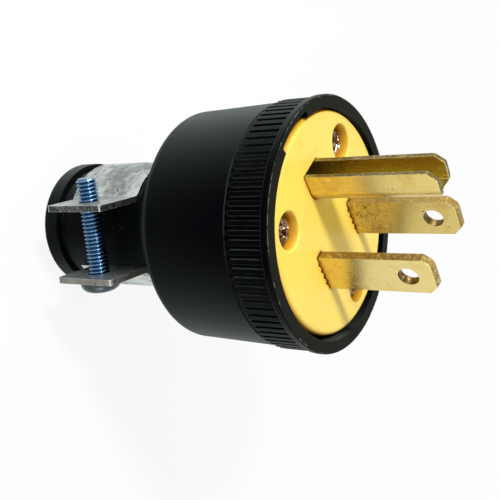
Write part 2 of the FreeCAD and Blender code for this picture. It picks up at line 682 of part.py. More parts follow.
# face screws and the threaded inserts they run into
for place, (y, z) in screw_spots.items():
    head = rod("face_head_" + place, "dims.face_screw_head_radius", "dims.face_screw_head",
               "-dims.recess_depth", y, z)
    shank = rod("face_shank_" + place, "dims.face_screw_radius", "dims.face_screw_length",
                "-dims.recess_depth - dims.face_screw_length", y, z)
    screw = finished("face_screw_body_" + place, joined("face_screw_blank_" + place, [head, shank]))
    head_front = size("face_screw_head") - size("recess_depth")
    dressed(screw, "Fillet", "face_head_rim_" + place,
            lambda edge: isCircle(edge, size("face_screw_head_radius"), head_front),
            "dims.head_dome_round")
    cross_x = "-dims.recess_depth + dims.face_screw_head - dims.cross_depth"
    cross = [
        block("face_cross_across_" + place, "dims.cross_depth + 1", "dims.cross_span",
              "dims.cross_width", cross_x, y + " - dims.cross_span / 2", z + " - dims.cross_width / 2"),
        block("face_cross_up_" + place, "dims.cross_depth + 1", "dims.cross_width",
              "dims.cross_span", cross_x, y + " - dims.cross_width / 2", z + " - dims.cross_span / 2"),
    ]
    nodes["face_screw_" + place] = cut("face_screw_cut_" + place, screw, cross)
    sleeve = rod("insert_sleeve_" + place, "dims.insert_radius", "dims.insert_length",
                 retainer_rear + " - dims.insert_sink - dims.insert_length", y, z)
    bore = rod("insert_bore_" + place, "dims.face_screw_radius", "dims.insert_length + 2",
               retainer_rear + " - dims.insert_sink - dims.insert_length - 1", y, z)
    nodes["boss_insert_" + place] = cut("insert_cut_" + place, sleeve, [bore])


# clamp half: strap bent over the neck with a flat ear each side; the lower one is turned over
def clampHalf(name, hole_radius):
    outer_radius = "(dims.neck_radius + dims.strap_thickness)"
    arch = doc.addObject("Part::Common", name + "_arch")
    arch.Base = rod(name + "_ring", outer_radius, "dims.saddle_rear - dims.ear_front", "-dims.saddle_rear")
    arch.Tool = block(name + "_above", "dims.saddle_rear - dims.ear_front + 2",
                      "2 * " + outer_radius + " + 2", outer_radius + " + 1",
                      "-dims.saddle_rear - 1", "-" + outer_radius + " - 1", "dims.ear_inner_height")
    ears = block(name + "_ears", "dims.ear_width", "2 * dims.ear_reach", "dims.strap_thickness",
                 "-dims.ear_front - dims.ear_width", "-dims.ear_reach", "dims.ear_inner_height")
    inside = rod(name + "_inside", "dims.neck_radius", "dims.saddle_rear - dims.ear_front + 2",
                 "-dims.saddle_rear - 1")
    holes = [
        rod(name + "_hole_" + end, hole_radius, "3 * dims.strap_thickness",
            "-dims.clamp_screw_from_face", sign + " * dims.clamp_screw_side",
            "dims.ear_inner_height - dims.strap_thickness", upright)
        for end, sign in (("near", "-1"), ("far", "1"))
    ]
    strap = joined(name + "_strap", [arch, ears])
    half = finished(name, cut(name + "_blank", strap, [inside] + holes))
    top = size("ear_inner_height") + size("strap_thickness")
    radius = size("neck_radius") + size("strap_thickness")

    def isBend(edge, ring, height):
        y = math.sqrt(ring ** 2 - height ** 2)
        middle = edge.CenterOfMass
        return isLine(edge, Vector(1, 0, 0)) and near(abs(middle.y), y) and near(middle.z, height)

    dressed(half, "Fillet", name + "_outer_bend", lambda edge: isBend(edge, radius, top),
            "dims.strap_bend")
    dressed(half, "Fillet", name + "_inner_bend",
            lambda edge: isBend(edge, size("neck_radius"), size("ear_inner_height")),
            "dims.strap_inner_bend")
    dressed(half, "Fillet", name + "_ear_corners",
            lambda edge: isLine(edge, Vector(0, 0, 1)) and near(abs(edge.CenterOfMass.y), size("ear_reach")),
            "dims.ear_corner")
    nodes[name] = half


clampHalf("clamp_upper", "dims.clamp_screw_radius")
clampHalf("clamp_lower", "dims.clamp_screw_radius + dims.clamp_hole_gap")

# clamp screws: heads under the lower ears, threaded into the upper ones
under_ear = "(-dims.ear_inner_height - dims.strap_thickness)"
for place, sign in (("near", "-1"), ("far", "1")):
    name = "clamp_screw_" + place
    x = "-dims.clamp_screw_from_face"
    y = sign + " * dims.clamp_screw_side"
    head = rod(name + "_head", "dims.clamp_head_radius", "dims.clamp_head", x, y,
               under_ear + " - dims.clamp_head", upright)
    shank = rod(name + "_shank", "dims.clamp_screw_radius", "dims.clamp_screw_length", x, y,
                under_ear, upright)
    screw = finished(name + "_body", joined(name + "_blank", [head, shank]))
    box = screw.Shape.BoundBox
    dressed(screw, "Fillet", name + "_rim",
            lambda edge: isCircle(edge, size("clamp_head_radius")) and near(edge.Curve.Center.z, box.ZMin),
            "dims.head_dome_round")
    dressed(screw, "Chamfer", name + "_tip",
            lambda edge: isCircle(edge, size("clamp_screw_radius")) and near(edge.Curve.Center.z, box.ZMax),
            "dims.clamp_screw_tip")
    cross_z = under_ear + " - dims.clamp_head - 1"
    cross = [
        block(name + "_cross_along", "dims.cross_span", "dims.cross_width", "dims.cross_depth + 1",
              x + " - dims.cross_span / 2", y + " - dims.cross_width / 2", cross_z),
        block(name + "_cross_across", "dims.cross_width", "dims.cross_span", "dims.cross_depth + 1",
              x + " - dims.cross_width / 2", y + " - dims.cross_span / 2", cross_z),
    ]
    nodes[name] = cut(name + "_cut", screw, cross)
doc.recompute()

# place every node: neck down, axis upright on the row's Z, blades and pin rolled from the screws
upended = Rotation(Vector(0, 1, 0), -90)
for name, item in nodes.items():
    turned_by = 0 if name.startswith("clamp") else size("pin_roll")
    if name == "clamp_lower":
        turned_by = 180
    item.Label = name
    turn = upended.multiply(Rotation(Vector(1, 0, 0), turned_by))
    item.Placement = Placement(Vector(0, 0, 0), turn)
    bind(item, {"Placement.Base.z": "dims.housing_rear"})
doc.recompute()

for item in doc.Objects:
    if "Invalid" in item.State or "Error" in item.State:
        raise RuntimeError("%s is %s" % (item.Name, item.State))
os.makedirs("parts", exist_ok=True)
for name, item in nodes.items():
    if item.Shape.isNull() or not item.Shape.isValid() or len(item.Shape.Solids) != 1:
        raise RuntimeError(name + " is not one valid solid")
    item.Shape.exportStep("parts/" + name + ".step")
    box = item.Shape.BoundBox
    print("%s %.1f mm3, %.2f..%.2f %.2f..%.2f %.2f..%.2f" % (
        name, item.Shape.Volume, box.XMin, box.XMax, box.YMin, box.YMax, box.ZMin, box.ZMax))
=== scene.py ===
import bpy
import numpy as np
from mathutils import Matrix, Vector


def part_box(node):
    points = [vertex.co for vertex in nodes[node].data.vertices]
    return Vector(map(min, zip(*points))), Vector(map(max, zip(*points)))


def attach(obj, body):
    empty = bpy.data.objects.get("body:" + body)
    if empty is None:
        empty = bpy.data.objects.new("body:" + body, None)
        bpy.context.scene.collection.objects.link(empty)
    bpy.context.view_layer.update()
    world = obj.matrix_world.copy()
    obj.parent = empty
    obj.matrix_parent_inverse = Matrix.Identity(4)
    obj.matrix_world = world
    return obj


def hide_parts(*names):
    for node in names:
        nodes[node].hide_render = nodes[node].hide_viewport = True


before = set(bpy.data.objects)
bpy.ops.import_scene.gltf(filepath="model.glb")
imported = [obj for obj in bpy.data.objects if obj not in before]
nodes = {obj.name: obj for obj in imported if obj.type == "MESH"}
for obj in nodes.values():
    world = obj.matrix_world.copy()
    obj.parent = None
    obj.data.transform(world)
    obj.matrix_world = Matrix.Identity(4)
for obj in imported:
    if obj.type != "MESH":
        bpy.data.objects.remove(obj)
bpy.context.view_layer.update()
print("frame loaded, nodes:", len(nodes))


# small helpers for colours and shader nodes

def picked(red, green, blue):
    # colour as read on a screen, 0 to 255, made linear for a shader
    screen = np.array([red, green, blue]) / 255
    light = np.where(screen <= 0.04045, screen / 12.92, ((screen + 0.055) / 1.055) ** 2.4)
    return tuple(float(part) for part in light) + (1.0,)


def addNode(tree, kind, inputs=None, **settings):
    made = tree.nodes.new(kind if kind.startswith("NodeGroup") else "ShaderNode" + kind)
    for key, value in settings.items():
        setattr(made, key, value)
    for key, value in (inputs or {}).items():
        if isinstance(value, bpy.types.NodeSocket):
            tree.links.new(value, made.inputs[key])
        else:
            made.inputs[key].default_value = value
    return made


def calc(tree, operation, first, second=0.0, third=0.0, clamp=False):
    return addNode(tree, "Math", {0: first, 1: second, 2: third},
                   operation=operation, use_clamp=clamp).outputs[0]


def product(tree, first, *others):
    for other in others:
        first = calc(tree, "MULTIPLY", first, other)
    return first


def window(tree, value, low, high):
    # 0 up to low, 1 from high on, smooth between (low may be the larger one)
    return addNode(tree, "MapRange", {"Value": value, "From Min": low, "From Max": high},
                   interpolation_type="SMOOTHSTEP").outputs["Result"]


def mixColour(tree, share, first, second):
    # places 6 and 7 are the Mix node's two colours, output 2 the mixed one
    return addNode(tree, "Mix", {0: share, 6: first, 7: second}, data_type="RGBA").outputs[2]


def startGroup(name, takes, gives):
    group = bpy.data.node_groups.new(name, "ShaderNodeTree")
    for label, value in takes.items():
        kind = "NodeSocketVector" if value is None else "NodeSocketFloat"
        socket = group.interface.new_socket(label, in_out="INPUT", socket_type=kind)
        if value is not None:
            socket.default_value = value
    for label in gives:
        group.interface.new_socket(label, in_out="OUTPUT", socket_type="NodeSocketFloat")
    return group, addNode(group, "NodeGroupInput").outputs, addNode(group, "NodeGroupOutput").inputs


def useGroup(tree, group, spot, values=None):
    return addNode(tree, "Group", {"Vector": spot, **(values or {})}, node_tree=group).outputs[0]


def markAt(tree, spot, place, radius):
    # 1 within about the radius of a point, both in millimetres, soft at its border
    metres = tuple(value * 0.001 for value in place)
    away = addNode(tree, "VectorMath", {0: spot, 1: metres}, operation="DISTANCE").outputs["Value"]
    return window(tree, away, radius * 0.0013, radius * 0.0007)


def startMaterial(name):
    material = bpy.data.materials.new(name)
    material.use_nodes = True
    tree = material.node_tree
    tree.nodes.clear()
    shader = addNode(tree, "BsdfPrincipled")
    output = addNode(tree, "OutputMaterial")
    tree.links.new(shader.outputs["BSDF"], output.inputs["Surface"])
    spot = addNode(tree, "TexCoord").outputs["Object"]
    return material, tree, shader, spot


def finishNormal(tree, shader, height, distance, strength, softEdge):
    # fine relief over edges that are eased a little, as tumbled or moulded edges are
    eased = addNode(tree, "Bevel", {"Radius": softEdge}, samples=4).outputs["Normal"]
    bump = addNode(tree, "Bump", {"Height": height, "Normal": eased,
                                  "Strength": strength, "Distance": distance})
    tree.links.new(bump.outputs["Normal"], shader.inputs["Normal"])


# effects that several finishes share

def makeEdgeWear():
    # where a widely eased normal leaves the true one, an edge is near; noise breaks it up
    group, takes, gives = startGroup("edgeWear", {
        "Vector": None, "Radius": 0.0003, "Gain": 4.0,
        "Patch Scale": 400.0, "Patchiness": 0.6}, ["Edge"])
    eased = addNode(group, "Bevel", {"Radius": takes["Radius"]}, samples=4).outputs["Normal"]
    plain = addNode(group, "NewGeometry").outputs["Normal"]
    match = addNode(group, "VectorMath", {0: eased, 1: plain},
                    operation="DOT_PRODUCT").outputs["Value"]
    edge = calc(group, "MULTIPLY", calc(group, "SUBTRACT", 1.0, match), takes["Gain"], clamp=True)
    noise = addNode(group, "TexNoise", {"Vector": takes["Vector"], "Scale": takes["Patch Scale"],
                                        "Detail": 4.0}).outputs["Fac"]
    kept = calc(group, "SUBTRACT", 1.0, calc(group, "MULTIPLY", window(group, noise, 0.45, 0.6),
                                             takes["Patchiness"]))
    group.links.new(calc(group, "MULTIPLY", edge, kept, clamp=True), gives["Edge"])
    return group


def makeSmudges():
    # soft blotches of handling and tarnish, from two noises of different size
    group, takes, gives = startGroup("smudges", {
        "Vector": None, "Scale": 200.0, "Low": 0.45, "High": 0.7}, ["Smudge"])
    broad = addNode(group, "TexNoise", {
        "Vector": takes["Vector"], "Scale": takes["Scale"],
        "Detail": 6.0, "Roughness": 0.62, "Distortion": 0.6}).outputs["Fac"]
    fine = addNode(group, "TexNoise", {"Vector": takes["Vector"],
                                       "Scale": calc(group, "MULTIPLY", takes["Scale"], 5.3),
                                       "Detail": 3.0}).outputs["Fac"]
    both = calc(group, "MULTIPLY_ADD", fine, 0.3, calc(group, "MULTIPLY", broad, 0.7))
    group.links.new(addNode(group, "MapRange", {
        "Value": both, "From Min": takes["Low"], "From Max": takes["High"]},
        interpolation_type="SMOOTHSTEP").outputs["Result"], gives["Smudge"])
    return group


def makeSpecks():
    # small round spots in a random few of the cells of a cell pattern
    group, takes, gives = startGroup("specks", {
        "Vector": None, "Scale": 900.0, "Share": 0.1, "Size": 0.3}, ["Specks"])
    cell = addNode(group, "TexVoronoi", {"Vector": takes["Vector"], "Scale": takes["Scale"]})
    chance = addNode(group, "SeparateColor", {"Color": cell.outputs["Color"]}).outputs["Red"]
    chosen = calc(group, "LESS_THAN", chance, takes["Share"])
    near = addNode(group, "MapRange", {
        "Value": cell.outputs["Distance"], "From Min": takes["Size"],
        "From Max": calc(group, "MULTIPLY", takes["Size"], 0.5)}).outputs["Result"]
    group.links.new(calc(group, "MULTIPLY", chosen, near), gives["Specks"])
    return group


def makeScratches():
    # thin level lines of a noise that is drawn out along Z
    group, takes, gives = startGroup("scratches", {
        "Vector": None, "Scale": 600.0, "Stretch": 0.05, "Width": 0.03}, ["Scratches"])
    stretch = addNode(group, "CombineXYZ", {"X": 1.0, "Y": 1.0, "Z": takes["Stretch"]}).outputs[0]
    drawn = addNode(group, "VectorMath", {0: takes["Vector"], 1: stretch},
                    operation="MULTIPLY").outputs["Vector"]
    noise = addNode(group, "TexNoise", {"Vector": drawn, "Scale": takes["Scale"], "Detail": 5.0,
                                        "Distortion": 0.3}).outputs["Fac"]
    level = calc(group, "ABSOLUTE", calc(group, "SUBTRACT", noise, 0.5))
    group.links.new(addNode(group, "MapRange", {
        "Value": level, "From Min": takes["Width"],
        "From Max": 0.0}).outputs["Result"], gives["Scratches"])
    return group


def makeAxisDistance():
    # distance from the plug's own axis, which is the row's Z
    group, takes, gives = startGroup("axisDistance", {"Vector": None}, ["Distance"])
    flat = addNode(group, "VectorMath", {0: takes["Vector"], 1: (1.0, 1.0, 0.0)},
                   operation="MULTIPLY").outputs["Vector"]
    group.links.new(addNode(group, "VectorMath", {0: flat}, operation="LENGTH").outputs["Value"],
                    gives["Distance"])
    return group


edgeWear = makeEdgeWear()
smudges = makeSmudges()
specks = makeSpecks()
scratches = makeScratches()
axisDistance = makeAxisDistance()
print("shared effects made")


# moulded plastics

housingLook = {
    "black": picked(3, 4, 6), "ribTop": picked(4, 5, 7), "rimFace": picked(34, 35, 30),
    "worn": picked(92, 98, 96), "dust": picked(96, 102, 100), "sheen": picked(108, 117, 114),
    "rimLine": picked(132, 132, 118),
    "ribTopAmount": 0.4, "rimAmount": 0.85, "wornEdgeAndHighlightAmount": 0.4, "dustAmount": 0.5, "rimLineAmount": 0.55,
    "ribTopFrom": 0.0195, "ribTopTo": 0.01965,      # distance from the axis where a rib's top starts
    "ribRear": 0.04535, "ribFront": 0.05125,        # heights between which the ribs run
    "rimFrom": 0.05232, "rimTo": 0.0524,            # height at which the front face of the rim starts
    "rimLineInner": (0.01968, 0.01976), "rimLineOuter": (0.01988, 0.01980),
    "wear": {"Radius": 0.00022, "Gain": 3.0, "Patch Scale": 700.0, "Patchiness": 0.7},
    "specks": {"Scale": 700.0, "Share": 0.035, "Size": 0.11},
    "cloud": {"Scale": 90.0, "Low": 0.4, "High": 0.7},
    "rimBreaks": {"Scale": 300.0, "Low": 0.5, "High": 0.56},
    "slantLow": 0.2, "slantHigh": 0.75, "slantPower": 1.6,
    "roughness": 0.34, "cloudRoughness": 0.12, "shine": 0.01,
    "grainScale": 2600.0, "reliefDepth": 0.00002, "reliefStrength": 0.35, "softEdge": 0.00012,
    "nick": ((-17.94, 5.70, 52.45), 0.22),
}


def paintedSheen(tree, look, rim):
    # painted sheen: the plastic is painted paler where it is seen at a low angle, as a glancing reflection
    # makes it, but not on its rear faces
    facing = addNode(tree, "LayerWeight", {"Blend": 0.5}).outputs["Facing"]
    slant = calc(tree, "SUBTRACT", calc(tree, "MINIMUM", facing, look["slantHigh"]), look["slantLow"],
                 clamp=True)
    normal = addNode(tree, "NewGeometry").outputs["Normal"]
    level = addNode(tree, "SeparateXYZ", {"Vector": normal}).outputs["Z"]
    return product(tree, calc(tree, "POWER", slant, look["slantPower"]), window(tree, level, -0.75, -0.1),
                   calc(tree, "MULTIPLY_ADD", rim, -0.9, 1.0))


def paintHousing(look):
    material, tree, shader, spot = startMaterial("housingPlastic")
    up = addNode(tree, "SeparateXYZ", {"Vector": spot}).outputs["Z"]
    away = useGroup(tree, axisDistance, spot)
    ribTop = product(tree, window(tree, away, look["ribTopFrom"], look["ribTopTo"]),
                     calc(tree, "GREATER_THAN", up, look["ribRear"]),
                     calc(tree, "LESS_THAN", up, look["ribFront"]))
    rim = window(tree, up, look["rimFrom"], look["rimTo"])
    rimLine = product(tree, window(tree, away, *look["rimLineInner"]),
                      window(tree, away, *look["rimLineOuter"]), rim,
                      useGroup(tree, smudges, spot, look["rimBreaks"]))
    # lighter edges: partly wear, partly painted highlight where the ribs' edges catch light
    worn = useGroup(tree, edgeWear, spot, look["wear"])
    dust = useGroup(tree, specks, spot, look["specks"])
    cloud = useGroup(tree, smudges, spot, look["cloud"])
    nick = markAt(tree, spot, *look["nick"])
    # painted sheen over the black, paler where the plastic is seen at a low angle
    colour = mixColour(tree, paintedSheen(tree, look, rim), look["black"], look["sheen"])
    for mask, amount, over in (
            (ribTop, "ribTopAmount", "ribTop"), (rim, "rimAmount", "rimFace"), (worn, "wornEdgeAndHighlightAmount", "worn"),
            (dust, "dustAmount", "dust"), (rimLine, "rimLineAmount", "rimLine")):
        colour = mixColour(tree, product(tree, mask, look[amount]), colour, look[over])
    colour = mixColour(tree, nick, colour, look["black"])
    tree.links.new(colour, shader.inputs["Base Color"])
    tree.links.new(calc(tree, "MULTIPLY_ADD", cloud, look["cloudRoughness"], look["roughness"]),
                   shader.inputs["Roughness"])
    shader.inputs["Specular IOR Level"].default_value = look["shine"]
    grain = addNode(tree, "TexNoise", {"Vector": spot, "Scale": look["grainScale"], "Detail": 3.0})
    height = calc(tree, "SUBTRACT", calc(tree, "MULTIPLY_ADD", dust, 0.5, grain.outputs["Fac"]),
                  product(tree, nick, 6.0))
    finishNormal(tree, shader, height, look["reliefDepth"], look["reliefStrength"], look["softEdge"])
    return material


insertLook = {
    "yellow": picked(255, 221, 98), "shade": picked(232, 170, 34),
    "grime": picked(120, 84, 30), "dust": picked(196, 150, 66),
    "recessShadeAmount": 0.95, "cloudAmount": 0.1, "grimeAmount": 0.5, "dustAmount": 0.5, "scuffAmount": 0.3,
    "cloud": {"Scale": 110.0, "Low": 0.5, "High": 0.75},
    "specks": {"Scale": 520.0, "Share": 0.05, "Size": 0.12},
    "hollowReach": 0.0022, "recessShade": (0.92, 0.35), "grimy": (0.6, 0.2),
    "roughness": 0.34, "cloudRoughness": 0.15, "shine": 0.4,
    "glow": 0.25, "glowRadius": (1.0, 0.5, 0.12), "glowScale": 0.0008,
    "flow": {"Scale": 260.0, "Detail": 4.0, "Distortion": 1.2},
    "reliefDepth": 0.00004, "reliefStrength": 0.35, "softEdge": 0.00012,
    "scuffs": (((-13.46, -7.38, 52.0), 0.42), ((-12.15, -3.26, 52.0), 0.26), ((-11.80, -3.40, 52.0), 0.2)),
}


def paintInsert(look):
    material, tree, shader, spot = startMaterial("insertNylon")
    cloud = useGroup(tree, smudges, spot, look["cloud"])
    openness = addNode(tree, "AmbientOcclusion", {"Distance": look["hollowReach"]}, samples=8).outputs["AO"]
    # painted shade: the nylon turns a deeper orange where ambient occlusion finds a recess
    recessShade = window(tree, openness, *look["recessShade"])
    grime = product(tree, window(tree, openness, *look["grimy"]), cloud)
    dust = useGroup(tree, specks, spot, look["specks"])
    scuffs = markAt(tree, spot, *look["scuffs"][0])
    for place, radius in look["scuffs"][1:]:
        scuffs = calc(tree, "MAXIMUM", scuffs, markAt(tree, spot, place, radius))
    colour = look["yellow"]
    for mask, amount, over in (
            (recessShade, "recessShadeAmount", "shade"), (cloud, "cloudAmount", "shade"), (grime, "grimeAmount", "grime"),
            (dust, "dustAmount", "dust"), (scuffs, "scuffAmount", "shade")):
        colour = mixColour(tree, product(tree, mask, look[amount]), colour, look[over])
    tree.links.new(colour, shader.inputs["Base Color"])
    tree.links.new(calc(tree, "MULTIPLY_ADD", cloud, look["cloudRoughness"], look["roughness"]),
                   shader.inputs["Roughness"])
    shader.inputs["Subsurface Weight"].default_value = look["glow"]
    shader.inputs["Subsurface Radius"].default_value = look["glowRadius"]
    shader.inputs["Subsurface Scale"].default_value = look["glowScale"]
    shader.inputs["Specular IOR Level"].default_value = look["shine"]
    flow = addNode(tree, "TexNoise", {"Vector": spot, **look["flow"]}).outputs["Fac"]
    finishNormal(tree, shader, flow, look["reliefDepth"], look["reliefStrength"], look["softEdge"])
    return material


retainerLook = {
    "brown": picked(58, 44, 34), "pale": picked(92, 72, 54), "paleAmount": 0.4,
    "cloud": {"Scale": 300.0, "Low": 0.4, "High": 0.7}, "wear": {"Radius": 0.0002, "Gain": 3.0},
    "roughness": 0.55, "cloudRoughness": 0.15,
    "grainScale": 2500.0, "reliefDepth": 0.00003, "reliefStrength": 0.4, "softEdge": 0.0001,
}


def paintRetainer(look):
    material, tree, shader, spot = startMaterial("retainerPlastic")
    cloud = useGroup(tree, smudges, spot, look["cloud"])
    worn = useGroup(tree, edgeWear, spot, look["wear"])
    pale = product(tree, calc(tree, "MAXIMUM", cloud, worn), look["paleAmount"])
    tree.links.new(mixColour(tree, pale, look["brown"], look["pale"]), shader.inputs["Base Color"])
    tree.links.new(calc(tree, "MULTIPLY_ADD", cloud, look["cloudRoughness"], look["roughness"]),
                   shader.inputs["Roughness"])
    grain = addNode(tree, "TexNoise", {"Vector": spot, "Scale": look["grainScale"], "Detail": 2.0})
    finishNormal(tree, shader, grain.outputs["Fac"], look["reliefDepth"], look["reliefStrength"],
                 look["softEdge"])
    return material


# metals

# values that every metal starts from
metalLook = {
    "turn": (0.0, 0.0, 0.0), "metallic": 1.0, "reliefStrength": 0.5,
    "wearPatches": 500.0, "wearPatchiness": 0.5, "wearAmount": 0.6,
    "patchLow": 0.52, "patchHigh": 0.6, "heavyStain": 0.25,
    "cutSide": 1.0, "cutMatch": 0.62, "tornScale": 1900.0, "cutRoughness": 0.16,
    "boreShare": 0.85, "boreReach": 2.6, "glintLow": 0.54, "glintHigh": 0.64,
    "shadeFrom": 0.75, "shadeTo": 0.3, "spotRoughness": 0.3,
}


def paintCuts(tree, spot, parts, look, colour):
    # sheared edges are raw and darker than the flat faces; gives their colour, mask and roughness
    facing = addNode(tree, "NewGeometry").outputs["True Normal"]
    cut = calc(tree, "GREATER_THAN", calc(tree, "ABSOLUTE", parts["Y"]), look["cutSide"])
    for way in look["cutWays"]:
        match = addNode(tree, "VectorMath", {0: facing, 1: way}, operation="DOT_PRODUCT").outputs["Value"]
        cut = calc(tree, "MAXIMUM", cut, calc(tree, "GREATER_THAN", match, look["cutMatch"]))
    torn = addNode(tree, "TexNoise", {"Vector": spot, "Scale": look["tornScale"],
                                      "Detail": 3.0}).outputs["Fac"]
    raw = product(tree, cut, calc(tree, "MULTIPLY_ADD", torn, -0.8, 1.25, clamp=True))
    colour = mixColour(tree, raw, colour, look["cutEdge"])
    for place in look.get("bores", ()):      # painted shade on the holes' walls, darker still
        bore = product(tree, cut, markAt(tree, spot, place, look["boreReach"]), look["boreShare"])
        colour = mixColour(tree, bore, colour, look["boreShade"])
    if "glint" in look:
        shining = product(tree, cut, window(tree, torn, look["glintLow"], look["glintHigh"]), look["glint"])
        colour = mixColour(tree, shining, colour, look["bright"])
    return colour, cut, product(tree, cut, torn, 2.4)


def paintMetal(name, look):
    # stain over clean metal (on the nickel screws both are painted reflection), then dark spots, scratches
    # along the sheet, and bright worn edges
    look = dict(metalLook, **look)
    material, tree, shader, spot = startMaterial(name)
    parts = addNode(tree, "SeparateXYZ", {"Vector": spot}).outputs
    along = addNode(tree, "Mapping", {"Vector": spot, "Rotation": look["turn"]}).outputs[0]
    stain = useGroup(tree, smudges, spot, {
        "Scale": look["stainScale"], "Low": look["stainLow"], "High": look["stainHigh"]})
    lines = useGroup(tree, scratches, along, {
        "Scale": look["lineScale"], "Stretch": look["lineStretch"], "Width": look["lineWidth"]})
    spots = useGroup(tree, specks, spot, {
        "Scale": look["spotScale"], "Share": look["spotShare"], "Size": look["spotSize"]})
    worn = useGroup(tree, edgeWear, spot, {
        "Radius": look["wearRadius"], "Gain": look["wearGain"],
        "Patch Scale": look["wearPatches"], "Patchiness": look["wearPatchiness"]})
    stainShare = product(tree, stain, look["stainAmount"])
    roughness = calc(tree, "MULTIPLY_ADD", stain, look["stainRoughness"], look["roughness"])
    if "heavyFrom" in look:      # heavier tarnish towards the insert
        heavy = window(tree, parts["Z"], look["heavyTo"], look["heavyFrom"])
        patch = useGroup(tree, smudges, spot, {
            "Scale": look["patchScale"], "Low": look["patchLow"], "High": look["patchHigh"]})
        spots = calc(tree, "MAXIMUM", spots, product(tree, patch, heavy, look["heavyAmount"]))
        stainShare = calc(tree, "MAXIMUM", stainShare, product(tree, heavy, look["heavyStain"]))
    colour = mixColour(tree, stainShare, look["clean"], look["stain"])
    colour = mixColour(tree, product(tree, lines, look["lineAmount"]), colour, look["bright"])
    if "cutEdge" in look:
        colour, cut, tears = paintCuts(tree, spot, parts, look, colour)
        roughness = calc(tree, "MULTIPLY_ADD", cut, look["cutRoughness"], roughness)
        lines = calc(tree, "MAXIMUM", lines, tears)
    if "hollow" in look:         # grime and shade where the metal meets the insert or folds on itself
        openness = addNode(tree, "AmbientOcclusion", {"Distance": look["hollowReach"]}, samples=8)
        shade = product(tree, window(tree, openness.outputs["AO"], look["shadeFrom"], look["shadeTo"]),
                        look["hollowAmount"])
        colour = mixColour(tree, shade, colour, look["hollow"])
    if "head" in look:           # the head is given a darker colour than the shank
        colour = mixColour(tree, window(tree, parts["X"], look["headFrom"], look["headTo"]),
                           colour, look["head"])
    if "groove" in look:         # painted shade in the thread's roots; thread attribute, 0 at the root and 1 on the crest
        crest = addNode(tree, "Attribute", attribute_name="threadCrest").outputs["Fac"]
        colour = mixColour(tree, window(tree, crest, 0.55, 0.05), colour, look["groove"])
    colour = mixColour(tree, product(tree, spots, look["spotAmount"]), colour, look["spot"])
    colour = mixColour(tree, product(tree, worn, look["wearAmount"]), colour, look["bright"])
    tree.links.new(colour, shader.inputs["Base Color"])
    tree.links.new(calc(tree, "ADD", roughness, product(tree, spots, look["spotRoughness"]), clamp=True),
                   shader.inputs["Roughness"])
    shader.inputs["Metallic"].default_value = look["metallic"]
    height = calc(tree, "SUBTRACT", product(tree, stain, 0.3),
                  calc(tree, "MULTIPLY_ADD", lines, 0.5, product(tree, spots, 0.6)))
    finishNormal(tree, shader, height, look["reliefDepth"], look["reliefStrength"], look["softEdge"])
    return material


bladeLook = {
    "clean": picked(226, 206, 134), "stain": picked(196, 166, 78), "bright": picked(250, 238, 190),
    "spot": picked(58, 44, 20), "turn": (0.0, 0.0, np.radians(30)),
    "stainScale": 170.0, "stainLow": 0.46, "stainHigh": 0.7, "stainAmount": 0.6, "stainRoughness": 0.12,
    "lineScale": 2200.0, "lineStretch": 0.04, "lineWidth": 0.02, "lineAmount": 0.25,
    "spotScale": 1100.0, "spotShare": 0.05, "spotSize": 0.22, "spotAmount": 0.7,
    "wearRadius": 0.0002, "wearGain": 3.0,
    "roughness": 0.24, "reliefDepth": 0.00003, "softEdge": 0.00012, "glint": 0.3,
    "heavyFrom": 0.05285, "heavyTo": 0.0600, "heavyAmount": 0.3, "patchScale": 700.0,
    "cutEdge": picked(150, 122, 62), "cutWays": ((-0.866, -0.5, 0), (0.866, 0.5, 0), (0, 0, 1), (0, 0, -1)),
    "hollow": picked(140, 96, 16), "hollowReach": 0.0022, "hollowAmount": 0.8,
    "bores": ((6.3, -3.7, 65.7), (-0.06, 7.3, 65.7)), "boreShade": picked(84, 62, 24),
}
pinLook = dict(bladeLook, clean=picked(222, 198, 122), stain=picked(184, 154, 66), stainAmount=0.7,
               heavyTo=0.05635, cutEdge=picked(86, 72, 38), cutWays=((-0.866, -0.5, 0), (0, 0, 1)),
               hollow=picked(206, 190, 84), hollowReach=0.0040, bores=(), glint=0.1)
pittedLook = dict(bladeLook, clean=picked(208, 186, 112), stain=picked(172, 142, 58), heavyTo=0.0620,
                  heavyAmount=1.0, patchScale=1500.0, spotAmount=0.85, glint=0.1)
clampLook = {
    "clean": picked(204, 211, 207), "stain": picked(120, 127, 124), "bright": picked(236, 240, 238),
    "spot": picked(44, 46, 44), "cutEdge": picked(36, 36, 34), "cutSide": 0.01778,
    "cutWays": ((0, 0, 1), (0, 0, -1)),
    "stainScale": 170.0, "stainLow": 0.4, "stainHigh": 0.62, "stainAmount": 0.9, "stainRoughness": 0.14,
    "lineScale": 1500.0, "lineStretch": 0.1, "lineWidth": 0.02, "lineAmount": 0.2,
    "spotScale": 800.0, "spotShare": 0.07, "spotSize": 0.25, "spotAmount": 0.6,
    "wearRadius": 0.0002, "wearGain": 3.0,
    "roughness": 0.38, "reliefDepth": 0.00004, "softEdge": 0.00015,
}
# the lower clamp's copy of the zinc, with lighter cut edges
lowerClampLook = dict(clampLook, cutEdge=picked(126, 122, 114))
# on the nickel screws the warm clean colour and the red-brown stain blotches are painted reflection of the
# yellow insert and of dark surroundings
screwLook = {
    "clean": picked(182, 156, 132), "stain": picked(66, 34, 20), "bright": picked(244, 242, 238),
    "spot": picked(70, 44, 28),
    "stainScale": 520.0, "stainLow": 0.42, "stainHigh": 0.58, "stainAmount": 0.95, "stainRoughness": 0.1,
    "lineScale": 2500.0, "lineStretch": 1.0, "lineWidth": 0.015, "lineAmount": 0.15,
    "spotScale": 1200.0, "spotShare": 0.04, "spotSize": 0.2, "spotAmount": 0.5,
    "wearRadius": 0.00012, "wearGain": 2.0, "wearAmount": 0.5,
    "roughness": 0.25, "reliefDepth": 0.00001, "softEdge": 0.00005,
}
